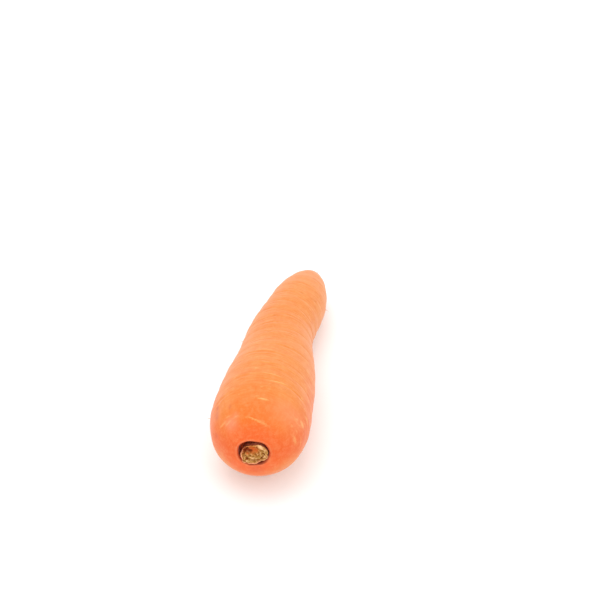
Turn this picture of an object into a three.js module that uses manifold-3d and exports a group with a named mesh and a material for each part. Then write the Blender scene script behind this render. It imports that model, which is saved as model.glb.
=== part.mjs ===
// A whole carrot lying on its side: the taproot, and the cut leaf-stalk bases in its crown.
// Millimetres, +Z up. +Y runs from the crown to the tail, and the root rests on the plane z = 0.
import * as THREE from "three";
import { mergeVertices } from "three/addons/utils/BufferGeometryUtils.js";
import Module from "manifold-3d";

const wasm = await Module();
wasm.setup();

// ---- Driving dimensions -------------------------------------------------------------------------

// The root's body, before its two ends are rounded: radius at distances from the crown.
const LENGTH = 156.5;
const BODY_AT = [0, 15, 32, 50, 70, 90, 110, 132, LENGTH];
const BODY_RADIUS = [24.6, 23.3, 22.25, 21.1, 18.45, 16.25, 14.9, 14.1, 12.4];

// How far each end's rounding reaches, and how square its shoulder is (2 is an ellipse).
const CROWN_ROUNDING = 31.2;
const CROWN_SQUARENESS = 2.4;
const TAIL_ROUNDING = 38;
const TAIL_SQUARENESS = 1.9;

// The root sways a little to each side as it grows.
const SWAY_AT = [0, 30.8, 61.6, 92.4, 123.2, LENGTH];
const SWAY = [0, -2.4, -3.2, -5.5, -2.2, 0];

// It lies on its belly and on the swelling before its tail, each pressed to a small flat.
const BELLY_AT = 50;
const TAIL_SWELLING_AT = 122;
const FLAT_DEPTH = 0.4;

// The recess in the crown: its rim is wider than it is high and off the root's axis, and the crown
// dips in towards it from the blend radius.
const RIM_AT = 0.55;
const RIM_RADIUS = 6.3;
const RIM_OVALITY = 0.075;
const RIM_OFFSET = new THREE.Vector2(-0.55, 0.55);
const RIM_BLEND_RADIUS = 14;
const RECESS_DEPTH = 5.4;
const RECESS_FLOOR_RADIUS = 5.8;

// The broken root thread at the tail.
const THREAD_RADIUS = 1.2;
const THREAD_LENGTH = 2.0;

// Transverse furrows: shallow creases that cross the root, in broken arcs.
const FURROW_COUNT = 27;
const FURROW_FIRST_AT = 19;
const FURROW_LAST_AT = 142;
const FURROW_SCATTER = 0.2;
const FURROW_HALF_WIDTH = 1.1;
const FURROW_DEPTH = 0.28;
const FURROW_ARCS = 3;
const ARC_HALF_SPAN_LEAST = 0.3;
const ARC_HALF_SPAN_MOST = 0.85;

// The rings that the root grew by aren't quite level: they rise and fall this much round it.
const RING_WANDER = 0.7;

// Slow swellings along the root, and its slightly three-cornered, oval section.
const SWELLING_HEIGHT = 0.08;
const SWELLING_LENGTH = 9.5;
const OVALITY = 0.01;
const THREE_CORNERS = 0.006;

// The leaf-stalk bases: whorls of crescents round a low bud, on a woody disc. They are cut off a
// little proud of the crown, and spread from a narrower foot.
const STUB_RADIUS = 5;
const STUB_STRETCH = new THREE.Vector2(1.2, 1.04);
const STUB_FOOT_SHARE = 0.88;
const STUB_OFFSET = new THREE.Vector2(0, 0.5);
const STUB_CLEARANCE = 0.3;
const STUB_PROUD = 1.4;
const STUB_HEIGHT = RECESS_DEPTH - STUB_CLEARANCE + STUB_PROUD;
const STALKS_FROM = 1.5;
const DISC_HEIGHT = 4.4;
const DISC_FOOT_RADIUS = 4.1;
const BUD_RADIUS = 1.2;
const BUD_HEIGHT = 1.6;
const CUT_SLOPE = 0.12;
const CUT_UNEVENNESS = 0.35;
// The inner whorls sit off the middle, towards this place.
const BUD_OFFSET = new THREE.Vector2(-0.4, 1.1);
const WHORLS = [
  { count: 6, radius: STUB_RADIUS, thickness: 1.3, halfSpan: 0.62, sunk: 0, turn: 0.2, offCentre: 0 },
  { count: 5, radius: 3.15, thickness: 1.15, halfSpan: 0.72, sunk: 0.4, turn: 0.7, offCentre: 0.45 },
  { count: 3, radius: 1.75, thickness: 0.9, halfSpan: 0.9, sunk: 1.0, turn: 0.1, offCentre: 1 },
];

// A rotted hollow in the cut face: its middle, and its reach across, up and into the face.
const HOLLOW_PLACE = new THREE.Vector3(-3.1, 2.1, STUB_HEIGHT + 0.3);
const HOLLOW_REACH = new THREE.Vector3(1.8, 1.2, 1.9);

// How finely the surfaces are divided.
const ROOT_SIDES = 48;
const STUB_SIDES = 28;
const BUD_SIDES = 12;
const HOLLOW_SIDES = 16;
const CRESCENT_STEPS = 8;
const CROWN_RINGS = 8;
const TAIL_RINGS = 9;

const SKIN = { color: 0xf07a35, roughness: 0.5, metalness: 0 };
const DRY_STALK = { color: 0xb5904f, roughness: 0.85, metalness: 0 };

const UPWARDS = new THREE.Vector3(0, 0, 1);

// ---- Curves along the root ----------------------------------------------------------------------

// A smooth curve through the values: each knot's slope comes from its neighbours.
function smoothCurve(knots, values) {
  const last = knots.length - 1;
  const chord = (i, j) => (values[j] - values[i]) / (knots[j] - knots[i]);
  const slopes = values.map((_, i) => (i > 0 && i < last ? chord(i - 1, i + 1) : 0));
  slopes[0] = (3 * chord(0, 1) - slopes[1]) / 2;
  slopes[last] = (3 * chord(last - 1, last) - slopes[last - 1]) / 2;
  return (at) => {
    let i = 0;
    while (i < last - 1 && at > knots[i + 1]) i += 1;
    const span = knots[i + 1] - knots[i];
    const t = (at - knots[i]) / span;
    const rise = t * t * (3 - 2 * t);
    const bend = span * (slopes[i] * t * (1 - t) ** 2 - slopes[i + 1] * t * t * (1 - t));
    return values[i] + (values[i + 1] - values[i]) * rise + bend;
  };
}

const bodyRadius = smoothCurve(BODY_AT, BODY_RADIUS);
const sway = smoothCurve(SWAY_AT, SWAY);

function endRounding(fromEnd, reach, squareness) {
  const inside = THREE.MathUtils.clamp(1 - fromEnd / reach, 0, 1);
  return (1 - inside ** squareness) ** (1 / squareness);
}

function rootRadius(at) {
  const crown = endRounding(at, CROWN_ROUNDING, CROWN_SQUARENESS);
  const tail = endRounding(LENGTH - at, TAIL_ROUNDING, TAIL_SQUARENESS);
  return bodyRadius(at) * crown * tail;
}

// The centre line goes down towards the tail, so that both resting places touch the plane.
const descent =
  (rootRadius(BELLY_AT) - rootRadius(TAIL_SWELLING_AT)) / (TAIL_SWELLING_AT - BELLY_AT);

// The centre line at a distance along the root, with the directions across it there.
function axisFrame(at) {
  const step = 0.5;
  const lean = (sway(Math.min(at + step, LENGTH)) - sway(Math.max(at - step, 0))) / (2 * step);
  const forward = new THREE.Vector3(lean, 1, -descent).normalize();
  const side = new THREE.Vector3().crossVectors(forward, UPWARDS).normalize();
  return {
    centre: new THREE.Vector3(sway(at), at, -descent * at),
    forward,
    side,
    up: new THREE.Vector3().crossVectors(side, forward),
  };
}

// ---- Relief -------------------------------------------------------------------------------------

// An even, repeatable scatter between 0 and 1.
const scatter = (n, stride) => (n * stride) % 1;

// One arc of a furrow: where it is round the root (0 is on top), half its length and its depth.
function furrowArc(n) {
  const extraSpan = ARC_HALF_SPAN_MOST - ARC_HALF_SPAN_LEAST;
  return {
    angle: 2 * Math.PI * scatter(n, 0.618034),
    halfSpan: ARC_HALF_SPAN_LEAST + extraSpan * scatter(n, 0.754878),
    depth: FURROW_DEPTH * (0.5 + 0.5 * scatter(n, 0.56984)),
  };
}

const furrows = Array.from({ length: FURROW_COUNT }, (_, i) => {
  const share = (i + FURROW_SCATTER * Math.sin(2.4 * i)) / (FURROW_COUNT - 1);
  return {
    at: FURROW_FIRST_AT + share * (FURROW_LAST_AT - FURROW_FIRST_AT),
    arcs: Array.from({ length: FURROW_ARCS }, (_, k) => furrowArc(i * FURROW_ARCS + k + 1)),
  };
});

const turnBetween = (a, b) => Math.abs(Math.atan2(Math.sin(a - b), Math.cos(a - b)));

function furrowDepth(at, angle) {
  let depth = 0;
  for (const furrow of furrows) {
    const across = 1 - Math.abs(at - furrow.at) / FURROW_HALF_WIDTH;
    if (across <= 0) continue;
    for (const arc of furrow.arcs) {
      const along = turnBetween(angle, arc.angle) / arc.halfSpan;
      if (along < 1) depth = Math.max(depth, arc.depth * across * Math.cos((along * Math.PI) / 2));
    }
  }
  return depth;
}

// The radius after the oval section, swellings and furrows, at a place on the root's outside.
function reliefRadius(radius, at, angle) {
  const oval = OVALITY * Math.cos(2 * angle - 1);
  const corners = THREE_CORNERS * Math.cos(3 * angle + at / 40);
  const phase = (2 * Math.PI * at) / SWELLING_LENGTH + 0.8 * Math.sin(at / 17);
  const bodyShare = Math.min(1, radius / RIM_BLEND_RADIUS);
  const swelling = SWELLING_HEIGHT * bodyShare ** 2 * Math.sin(phase);
  return radius * (1 + oval + corners) + swelling - furrowDepth(at, angle);
}

// How much of the rim's shape and offset a place has: 1 inside the rim, 0 from the blend radius.
function rimShare(radius, at) {
  if (at > CROWN_ROUNDING) return 0;
  const fromBlend = (RIM_BLEND_RADIUS - radius) / (RIM_BLEND_RADIUS - RIM_RADIUS);
  return THREE.MathUtils.clamp(fromBlend, 0, 1);
}

// How far along the root its growth rings wander at a place, with both ends left level.
function ringWander(at, angle) {
  const body = Math.sin(Math.PI * THREE.MathUtils.clamp(at / LENGTH, 0, 1));
  return RING_WANDER * body * Math.sin(2 * angle + at / 13);
}

// ---- The root -----------------------------------------------------------------------------------

// Distances along the root where its surface has a ring: closer and closer together towards both
// rounded ends, and at each furrow's two lips and its bottom.
function ringPlaces() {
  const rounded = (step, count, reach) => reach * (1 - Math.cos((step / count) * (Math.PI / 2)));
  const places = [];
  for (let i = 2; i < CROWN_RINGS; i += 1) places.push(rounded(i, CROWN_RINGS, FURROW_FIRST_AT));
  for (const { at } of furrows) places.push(at - FURROW_HALF_WIDTH, at, at + FURROW_HALF_WIDTH);
  const tailReach = LENGTH - FURROW_LAST_AT;
  for (let i = TAIL_RINGS - 1; i > 0; i -= 1) {
    places.push(LENGTH - rounded(i, TAIL_RINGS, tailReach));
  }
  return places;
}

// The half outline that is turned into the root: x is the radius and y the distance along it.
// It starts on the recess's floor, climbs its wall to the rim, and ends on the root thread.
function rootOutline() {
  const recess = [
    [0, RIM_AT + RECESS_DEPTH],
    [RECESS_FLOOR_RADIUS * 0.55, RIM_AT + RECESS_DEPTH],
    [RECESS_FLOOR_RADIUS, RIM_AT + RECESS_DEPTH * 0.93],
    [RECESS_FLOOR_RADIUS + 0.25, RIM_AT + RECESS_DEPTH * 0.6],
    [RIM_RADIUS - 0.1, RIM_AT + RECESS_DEPTH * 0.22],
    [RIM_RADIUS, RIM_AT + 0.35],
    [RIM_RADIUS + 0.35, RIM_AT],
    [RIM_RADIUS + 1.4, RIM_AT + 0.12],
  ];
  const body = ringPlaces().map((at) => [rootRadius(at), at]);
  const thread = [
    [THREAD_RADIUS * 1.5, LENGTH + 0.1],
    [THREAD_RADIUS, LENGTH + 0.35 * THREAD_LENGTH],
    [THREAD_RADIUS * 0.8, LENGTH + 0.85 * THREAD_LENGTH],
    [THREAD_RADIUS * 0.45, LENGTH + THREAD_LENGTH],
    [0, LENGTH + 0.9 * THREAD_LENGTH],
  ];
  return [...recess, ...body, ...thread].map(([radius, at]) => new THREE.Vector2(radius, at));
}

// Turns the outline, then gives each point its relief and moves it onto the swaying centre line.
function shapedRoot() {
  const turned = new THREE.LatheGeometry(rootOutline(), ROOT_SIDES);
  turned.deleteAttribute("normal");
  turned.deleteAttribute("uv");
  const geometry = mergeVertices(turned);
  const position = geometry.getAttribute("position");
  const vertex = new THREE.Vector3();
  for (let i = 0; i < position.count; i += 1) {
    vertex.fromBufferAttribute(position, i);
    const angle = Math.atan2(vertex.x, vertex.z);
    const at = vertex.y;
    const turnedRadius = Math.hypot(vertex.x, vertex.z);
    const share = rimShare(turnedRadius, at);
    const rimOval = 1 - RIM_OVALITY * share * Math.cos(2 * angle);
    const outside = turnedRadius > RIM_BLEND_RADIUS / 2;
    const relief = outside ? reliefRadius(turnedRadius, at, angle) : turnedRadius;
    const frame = axisFrame(at + ringWander(at, angle));
    vertex
      .copy(frame.centre)
      .addScaledVector(frame.side, relief * rimOval * Math.sin(angle) + share * RIM_OFFSET.x)
      .addScaledVector(frame.up, relief * rimOval * Math.cos(angle) + share * RIM_OFFSET.y);
    position.setXYZ(i, vertex.x, vertex.y, vertex.z);
  }
  return geometry;
}

// Sets the root down on z = 0 and presses its lowest places flat. Returns how far it was raised.
function setDown(geometry) {
  geometry.computeBoundingBox();
  const raise = -geometry.boundingBox.min.z - FLAT_DEPTH;
  geometry.translate(0, 0, raise);
  const position = geometry.getAttribute("position");
  for (let i = 0; i < position.count; i += 1) position.setZ(i, Math.max(0, position.getZ(i)));
  return raise;
}

// ---- The leaf-stalk bases -----------------------------------------------------------------------

// A stalk base's section: a crescent that clasps what grows inside it.
function crescentShape(radius, thickness, halfSpan) {
  const edge = (share, inset) => {
    const angle = halfSpan * share;
    const distance = radius - inset;
    return new THREE.Vector2(distance * Math.cos(angle), distance * Math.sin(angle));
  };
  const shares = Array.from({ length: CRESCENT_STEPS + 1 }, (_, i) => (2 * i) / CRESCENT_STEPS - 1);
  const outer = shares.map((share) => edge(share, 0));
  const inner = shares.map((share) => edge(share, thickness * (1 - 0.75 * share * share)));
  return new THREE.Shape([...outer, ...inner.reverse()]);
}

// One stalk base, with its top cut on a slope that falls towards cutTowards.
function stalkBase({ radius, thickness, halfSpan, offCentre, turn, height, cutTowards }) {
  const geometry = new THREE.ExtrudeGeometry(crescentShape(radius, thickness, halfSpan), {
    depth: height - STALKS_FROM,
    bevelEnabled: false,
    steps: 1,
  });
  geometry.rotateZ(turn);
  geometry.translate(BUD_OFFSET.x * offCentre, BUD_OFFSET.y * offCentre, STALKS_FROM);
  const position = geometry.getAttribute("position");
  for (let i = 0; i < position.count; i += 1) {
    if (position.getZ(i) < (STALKS_FROM + height) / 2) continue;
    const fall = position.getX(i) * Math.cos(cutTowards) + position.getY(i) * Math.sin(cutTowards);
    position.setZ(i, height - CUT_SLOPE * fall);
  }
  return geometry;
}

function toSolid(geometry) {
  const bare = geometry.clone();
  bare.deleteAttribute("normal");
  bare.deleteAttribute("uv");
  const merged = mergeVertices(bare);
  return new wasm.Manifold(
    new wasm.Mesh({
      numProp: 3,
      vertProperties: merged.getAttribute("position").array,
      triVerts: new Uint32Array(merged.index.array),
    }),
  );
}

function toGeometry(solid) {
  const mesh = solid.getMesh();
  const geometry = new THREE.BufferGeometry();
  geometry.setAttribute("position", new THREE.BufferAttribute(mesh.vertProperties, 3));
  geometry.setIndex(new THREE.BufferAttribute(mesh.triVerts, 1));
  return geometry;
}

function leafStubGeometry() {
  const discOutline = [
    [0, 0],
    [DISC_FOOT_RADIUS, 0],
    [STUB_RADIUS - 0.5, STALKS_FROM + 0.1],
    [STUB_RADIUS - 0.35, DISC_HEIGHT - 0.3],
    [STUB_RADIUS - 1.2, DISC_HEIGHT],
    [0, DISC_HEIGHT],
  ].map(([radius, height]) => new THREE.Vector2(radius, height));
  const disc = new THREE.LatheGeometry(discOutline, STUB_SIDES).rotateX(Math.PI / 2);
  const bud = new THREE.SphereGeometry(BUD_RADIUS, BUD_SIDES, BUD_SIDES / 2)
    .scale(1, 1, BUD_HEIGHT / BUD_RADIUS)
    .translate(BUD_OFFSET.x, BUD_OFFSET.y, DISC_HEIGHT);
  let solid = toSolid(disc).add(toSolid(bud));
  for (const whorl of WHORLS) {
    for (let i = 0; i < whorl.count; i += 1) {
      const turn = whorl.turn + (2 * Math.PI * i) / whorl.count;
      const uneven = CUT_UNEVENNESS * Math.sin(2.4 * i + whorl.count);
      const height = STUB_HEIGHT - whorl.sunk + uneven;
      const base = stalkBase({ ...whorl, turn, height, cutTowards: turn + 0.6 * i });
      solid = solid.add(toSolid(base));
    }
  }
  const hollow = new THREE.SphereGeometry(1, HOLLOW_SIDES, HOLLOW_SIDES / 2)
    .scale(...HOLLOW_REACH.toArray())
    .translate(...HOLLOW_PLACE.toArray());
  const geometry = toGeometry(solid.subtract(toSolid(hollow)));
  narrowTowardsFoot(geometry);
  return geometry;
}

// Stretches the round bases to their oval section, narrower at the foot than at the cut.
function narrowTowardsFoot(geometry) {
  const position = geometry.getAttribute("position");
  for (let i = 0; i < position.count; i += 1) {
    const height = Math.min(1, position.getZ(i) / STUB_HEIGHT);
    const share = THREE.MathUtils.lerp(STUB_FOOT_SHARE, 1, height);
    position.setX(i, position.getX(i) * share * STUB_STRETCH.x);
    position.setY(i, position.getY(i) * share * STUB_STRETCH.y);
  }
  geometry.computeVertexNormals();
}

// ---- The carrot ---------------------------------------------------------------------------------

const carrot = new THREE.Group();

const taprootGeometry = shapedRoot();
const raise = setDown(taprootGeometry);
taprootGeometry.computeVertexNormals();
const taproot = new THREE.Mesh(taprootGeometry, new THREE.MeshStandardMaterial(SKIN));
taproot.name = "taproot";
carrot.add(taproot);

const leafStub = new THREE.Mesh(leafStubGeometry(), new THREE.MeshStandardMaterial(DRY_STALK));
leafStub.name = "leaf_stub";
const seat = axisFrame(RIM_AT + RECESS_DEPTH - STUB_CLEARANCE);
leafStub.position
  .copy(seat.centre)
  .addScaledVector(seat.side, STUB_OFFSET.x)
  .addScaledVector(seat.up, STUB_OFFSET.y)
  .addScaledVector(UPWARDS, raise);
leafStub.quaternion.setFromUnitVectors(UPWARDS, seat.forward.clone().negate());
carrot.add(leafStub);

// The origin is under the middle of the carrot, on the plane that it rests on.
const bounds = new THREE.Box3().setFromObject(carrot, true);
const middle = bounds.getCenter(new THREE.Vector3());
carrot.position.set(-middle.x, -middle.y, 0);

export default carrot;
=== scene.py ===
"""A fresh carrot on a white table: the looks of its taproot and of the cut leaf stub in its crown.

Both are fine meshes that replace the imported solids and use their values. The root is a turned
outline with furrows, wrinkles, scars and pits, bent along its own axis. The stub is a cut face of
crescents on fibrous sides. Rootlets and frayed fibres are hairs.

Lengths are in millimetres until a mesh is made. A place on the root is its distance from the crown
and its turn round the axis, from the top towards +X.
"""

import itertools
import math
from functools import partial

import bpy
import numpy as np
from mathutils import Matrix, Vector


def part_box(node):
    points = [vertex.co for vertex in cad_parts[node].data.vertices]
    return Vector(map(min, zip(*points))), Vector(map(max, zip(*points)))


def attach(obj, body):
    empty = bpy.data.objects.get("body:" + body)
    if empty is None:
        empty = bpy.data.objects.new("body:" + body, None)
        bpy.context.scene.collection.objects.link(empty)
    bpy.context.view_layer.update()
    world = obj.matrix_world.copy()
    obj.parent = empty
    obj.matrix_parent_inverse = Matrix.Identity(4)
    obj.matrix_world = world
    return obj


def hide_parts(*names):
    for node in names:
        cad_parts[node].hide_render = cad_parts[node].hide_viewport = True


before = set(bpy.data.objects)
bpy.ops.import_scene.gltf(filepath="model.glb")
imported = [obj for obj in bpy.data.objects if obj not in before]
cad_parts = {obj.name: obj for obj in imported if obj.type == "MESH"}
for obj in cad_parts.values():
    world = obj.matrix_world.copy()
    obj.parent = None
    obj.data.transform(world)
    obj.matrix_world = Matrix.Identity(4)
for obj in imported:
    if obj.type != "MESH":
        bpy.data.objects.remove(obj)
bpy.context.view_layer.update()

MM = 0.001
TURN = 2 * math.pi
ROOT_SEED = 20
STUB_SEED = 24

# ---- The root's shape: the same values as its solid ----

# The body's radius at distances from the crown, before its ends are rounded.
LENGTH = 156.5
BODY_AT = [0, 15, 32, 50, 70, 90, 110, 132, LENGTH]
BODY_RADIUS = [24.6, 23.3, 22.25, 21.1, 18.45, 16.25, 14.9, 14.1, 12.4]
# How far each end's rounding reaches, and how square it is (2 for an ellipse).
CROWN_ROUNDING = 31.2
CROWN_SQUARENESS = 2.4
TAIL_ROUNDING = 38
TAIL_SQUARENESS = 1.9
SWAY_AT = [0, 30.8, 61.6, 92.4, 123.2, LENGTH]
SWAY = [0, -2.4, -3.2, -5.5, -2.2, 0]
# The root lies on its belly and on a swelling before its tail, both a little flattened.
BELLY_AT = 50
TAIL_SWELLING_AT = 122
FLAT_DEPTH = 0.4

RIM_AT = 0.55
RIM_RADIUS = 6.3
RIM_OVALITY = 0.075
RIM_OFFSET = (-0.55, 0.55)
BLEND_RADIUS = 14
RECESS_DEPTH = 5.4
FLOOR_RADIUS = 5.8
# Radius and distance from the crown, from the recess's floor to its rim.
RECESS_PATH = [
    (0, RIM_AT + RECESS_DEPTH),
    (FLOOR_RADIUS * 0.55, RIM_AT + RECESS_DEPTH),
    (FLOOR_RADIUS, RIM_AT + RECESS_DEPTH * 0.93),
    (FLOOR_RADIUS + 0.25, RIM_AT + RECESS_DEPTH * 0.6),
    (RIM_RADIUS - 0.1, RIM_AT + RECESS_DEPTH * 0.22),
    (RIM_RADIUS, RIM_AT + 0.35),
    (RIM_RADIUS + 0.35, RIM_AT),
    (RIM_RADIUS + 1.4, RIM_AT + 0.12),
]
THREAD_RADIUS = 1.2
THREAD_LENGTH = 2.0
# The same for the broken root thread at the tail.
THREAD_PATH = [
    (THREAD_RADIUS * 1.5, LENGTH + 0.1),
    (THREAD_RADIUS, LENGTH + 0.35 * THREAD_LENGTH),
    (THREAD_RADIUS * 0.8, LENGTH + 0.85 * THREAD_LENGTH),
    (THREAD_RADIUS * 0.45, LENGTH + THREAD_LENGTH),
    (0, LENGTH + 0.9 * THREAD_LENGTH),
]

# Furrows, each in broken arcs.
FURROW_COUNT = 27
FURROW_ZONE = (19, 142)
FURROW_SCATTER = 0.2
SCATTER_STEP = 2.4
FURROW_REACH = 1.1
FURROW_DEPTH = 0.28
FURROW_ARCS = 3
ARC_DEPTH = (0.5, 1)
ARC_SPAN = (0.3, 0.85)
RING_WANDER = 0.7
WANDER_LENGTH = 13
SWELLING_HEIGHT = 0.08
SWELLING_LENGTH = 9.5
SWELLING_DRIFT = 0.8
DRIFT_LENGTH = 17
OVALITY = 0.01
OVAL_TURN = 1
THREE_CORNERS = 0.006
TWIST_LENGTH = 40

# ---- The leaf stub's shape: the same values as its solid ----

STUB_STRETCH = (1.2, 1.04)
STUB_FOOT_SHARE = 0.88
STUB_OFFSET = (0, 0.5)
STUB_CLEARANCE = 0.3
STUB_PROUD = 1.4
STUB_HEIGHT = RECESS_DEPTH - STUB_CLEARANCE + STUB_PROUD
BUD_OFFSET = (-0.4, 1.1)
# Each whorl of stalk bases: how many, radius, thickness, half span, how far sunk, first turn, and
# its share of the bud's offset.
WHORLS = [
    (6, 5.0, 1.3, 0.62, 0.0, 0.2, 0.0),
    (5, 3.15, 1.15, 0.72, 0.4, 0.7, 0.45),
    (3, 1.75, 0.9, 0.9, 1.0, 0.1, 1.0),
]

# ---- How finely the pieces are divided ----

ROOT_RINGS = 585
ROOT_COLUMNS = 168
STUB_COLUMNS = 224
STUB_FACE_RINGS = 96
STUB_SIDE_RINGS = 64
STUB_FOOT_RINGS = 6
HAIR_SIDES = 6
HAIR_STEPS = 9

# ---- Small shaping functions ----

# Strides that scatter evenly.
FIRST_STRIDE = 0.618034
SECOND_STRIDE = 0.754878
THIRD_STRIDE = 0.56984
NOISE_CELLS = 32
# Keeps layered noise mostly between -1 and 1.
LAYERS_SPREAD = 1.5


def unit(vectors):
    return vectors / np.linalg.norm(vectors, axis=-1, keepdims=True)


def ease(low, high, value):
    """0 at low and 1 at high, smooth between them. low may be the greater."""
    t = np.clip((value - low) / (high - low), 0, 1)
    return t * t * (3 - 2 * t)


def hump(offset, half_width):
    """1 in the middle, falling smoothly to 0 at half_width and beyond."""
    return np.cos(np.clip(np.abs(offset) / half_width, 0, 1) * math.pi / 2) ** 2


def band(value, place):
    """A hump at a place, which is given by its middle and its reach."""
    middle, reach = place
    return hump(value - middle, reach)


def turn_from(turn, start):
    """The signed angle from start to turn, in radians."""
    return (turn - start + math.pi) % TURN - math.pi


def turn_band(turn, place):
    """The same round the root, in radians."""
    middle, reach = place
    return hump(turn_from(turn, middle), reach)


def part_way(pair, share):
    """The value a share of the way from the first of a pair to the second."""
    return pair[0] + (pair[1] - pair[0]) * share


def scatter(n, stride, pair=(0, 1)):
    """An even, repeatable scatter between the values of a pair."""
    return part_way(pair, (n * stride) % 1)


def lattice_noise(rng, points, size):
    """Smooth noise between -1 and 1, its features about size wide along each axis."""
    table = rng.uniform(-1, 1, (NOISE_CELLS, NOISE_CELLS, NOISE_CELLS))
    cell = points / np.asarray(size, float)
    low = np.floor(cell).astype(int)
    part = ease(0, 1, cell - low)
    total = np.zeros(points.shape[:-1])
    for corner in itertools.product((0, 1), repeat=3):
        weight = np.prod(np.where(np.array(corner) == 1, part, 1 - part), axis=-1)
        index = (low + corner) % NOISE_CELLS
        total += weight * table[index[..., 0], index[..., 1], index[..., 2]]
    return total


def layered_noise(rng, points, size, layers=3):
    """Lattice noise with finer and fainter layers added."""
    size = np.asarray(size, float)
    total = sum(lattice_noise(rng, points, size / 2**k) / 2**k for k in range(layers))
    return total / LAYERS_SPREAD


def smooth_curve(knots, values):
    """A smooth curve through the values: each knot's slope comes from its neighbours."""
    knots, values = np.array(knots, float), np.array(values, float)
    chords = np.diff(values) / np.diff(knots)
    slopes = np.empty_like(values)
    slopes[1:-1] = (values[2:] - values[:-2]) / (knots[2:] - knots[:-2])
    slopes[0] = (3 * chords[0] - slopes[1]) / 2
    slopes[-1] = (3 * chords[-1] - slopes[-2]) / 2

    def curve(at):
        i = np.clip(np.searchsorted(knots, at) - 1, 0, len(knots) - 2)
        span = knots[i + 1] - knots[i]
        t = (at - knots[i]) / span
        rise = t * t * (3 - 2 * t)
        bend = span * (slopes[i] * t * (1 - t) ** 2 - slopes[i + 1] * t * t * (1 - t))
        return values[i] + (values[i + 1] - values[i]) * rise + bend

    return curve


# ---- The root's body and axis ----

body_radius = smooth_curve(BODY_AT, BODY_RADIUS)
sway = smooth_curve(SWAY_AT, SWAY)
# The axis's direction is taken over this far on each side.
AXIS_STEP = 0.5


def end_rounding(from_end, reach, squareness):
    """The share of the body's radius that is left at a distance from a rounded end."""
    inside = np.clip(1 - from_end / reach, 0, 1)
    return (1 - inside**squareness) ** (1 / squareness)


def root_radius(at):
    """The radius at distances from the crown, before any relief."""
    crown = end_rounding(at, CROWN_ROUNDING, CROWN_SQUARENESS)
    tail = end_rounding(LENGTH - at, TAIL_ROUNDING, TAIL_SQUARENESS)
    return body_radius(at) * crown * tail


# The axis goes down towards the tail, so that both resting places meet the table.
DESCENT = (root_radius(BELLY_AT) - root_radius(TAIL_SWELLING_AT)) / (TAIL_SWELLING_AT - BELLY_AT)


def axis_frame(at):
    """The centre line at distances along the root, and the directions along and across it."""
    at = np.asarray(at, float)
    ahead, behind = np.minimum(at + AXIS_STEP, LENGTH), np.maximum(at - AXIS_STEP, 0)
    lean = (sway(ahead) - sway(behind)) / (2 * AXIS_STEP)
    forward = unit(np.stack([lean, np.ones_like(at), np.full_like(at, -DESCENT)], axis=-1))
    side = unit(np.cross(forward, (0, 0, 1)))
    centre = np.stack([sway(at), at, -DESCENT * at], axis=-1)
    return centre, forward, side, np.cross(side, forward)


# ---- The root's outline ----

# The body is sampled evenly round a half circle, less a margin in radians at each end.
BODY_SAMPLES = 1500
CROWN_MARGIN = 0.08
TAIL_MARGIN = 0.06
OUTLINE_STEP = 0.05
# Corners are rounded over this many steps each way.
CORNER_REACH = 5


def distances(path):
    """How far along a path each of its points is."""
    return np.concatenate([[0], np.cumsum(np.hypot(*np.diff(path, axis=0).T))])


def even_path(points):
    """Points at even steps along a path."""
    points = np.array(points, float)
    given = distances(points)
    wanted = np.linspace(0, given[-1], round(given[-1] / OUTLINE_STEP) + 1)
    return np.stack([np.interp(wanted, given, points[:, k]) for k in range(2)], axis=1)


def rounded(path):
    """The path with its corners rounded by averaging. Its ends stay."""
    start, end = (np.repeat(point, CORNER_REACH, 0) for point in (path[:1], path[-1:]))
    padded = np.concatenate([start, path, end])
    kernel = np.ones(2 * CORNER_REACH + 1) / (2 * CORNER_REACH + 1)
    return np.stack([np.convolve(padded[:, k], kernel, mode="valid") for k in range(2)], axis=1)


def root_outline():
    """(radius, distance along) from the recess's floor over rim and body to the thread's end."""
    angles = np.linspace(CROWN_MARGIN, math.pi - TAIL_MARGIN, BODY_SAMPLES)
    towards_tail = (1 - np.cos(angles)) / 2 * LENGTH
    body = np.stack([root_radius(towards_tail), towards_tail], axis=1)
    outside = body[(body[:, 0] > RECESS_PATH[-1][0]) | (body[:, 1] > CROWN_ROUNDING)]
    outside = outside[(outside[:, 0] > THREAD_PATH[0][0]) | (outside[:, 1] < CROWN_ROUNDING)]
    path = even_path(rounded(even_path([*RECESS_PATH, *outside, *THREAD_PATH])))
    picked = np.round(np.linspace(0, len(path) - 1, ROOT_RINGS)).astype(int)
    return path[picked]


# ---- The skin: the root's surface before it is bent ----

# The tints that marks give.
MARK_TINTS = ("scar", "pink_and_painted_sheen", "crease", "bruise_and_shade")
# A mark looks this much further than its own reach, because of the drift.
MARK_SLACK = 1.2


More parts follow.
